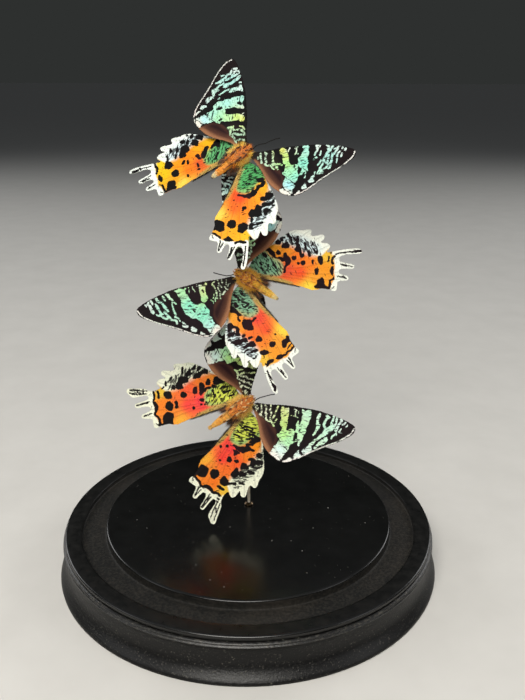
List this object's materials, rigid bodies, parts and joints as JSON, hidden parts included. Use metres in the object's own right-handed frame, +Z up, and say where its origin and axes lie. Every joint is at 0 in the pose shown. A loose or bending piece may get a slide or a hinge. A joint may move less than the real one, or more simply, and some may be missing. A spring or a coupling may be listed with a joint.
{
  "type": "mounted moths on a dome base",
  "caption": "Dried moths with open wings, pinned one above another to a thin upright stem on a round black base with a ring groove for a glass dome.",
  "frame": {"origin": "centre of the base's flat underside", "axes": "+Z up along the stem, -Y towards the side that shows the moths' undersides, +X to the right seen from there"},
  "size_m": [0.1702, 0.1702, 0.2168],
  "materials": {
    "black_lacquer": "black lacquer, glossy on the plateau and satin on the turned edge",
    "brass": "aged drawn wire",
    "pin_steel": "bright drawn pin",
    "moth_fur": "matte dried fur",
    "antenna_horn": "matte dark thread",
    "wing_scales": "dry scales with bright bands, spots and white tails"
  },
  "bodies": {
    "root": {"dome_base": "black_lacquer", "stem_ferrule": "brass", "stem": "brass", "top_moth_pin": "pin_steel", "middle_moth_pin": "pin_steel", "bottom_moth_pin": "pin_steel", "top_moth_body": "moth_fur", "middle_moth_body": "moth_fur", "bottom_moth_body": "moth_fur", "top_moth_left_antenna": "antenna_horn", "top_moth_right_antenna": "antenna_horn", "middle_moth_left_antenna": "antenna_horn", "middle_moth_right_antenna": "antenna_horn", "bottom_moth_left_antenna": "antenna_horn", "bottom_moth_right_antenna": "antenna_horn", "top_moth_left_forewing": "wing_scales", "top_moth_right_forewing": "wing_scales", "top_moth_left_hindwing": "wing_scales", "top_moth_right_hindwing": "wing_scales", "middle_moth_left_forewing": "wing_scales", "middle_moth_right_forewing": "wing_scales", "middle_moth_left_hindwing": "wing_scales", "middle_moth_right_hindwing": "wing_scales", "bottom_moth_left_forewing": "wing_scales", "bottom_moth_right_forewing": "wing_scales", "bottom_moth_left_hindwing": "wing_scales", "bottom_moth_right_hindwing": "wing_scales"}
  },
  "joints": []
}
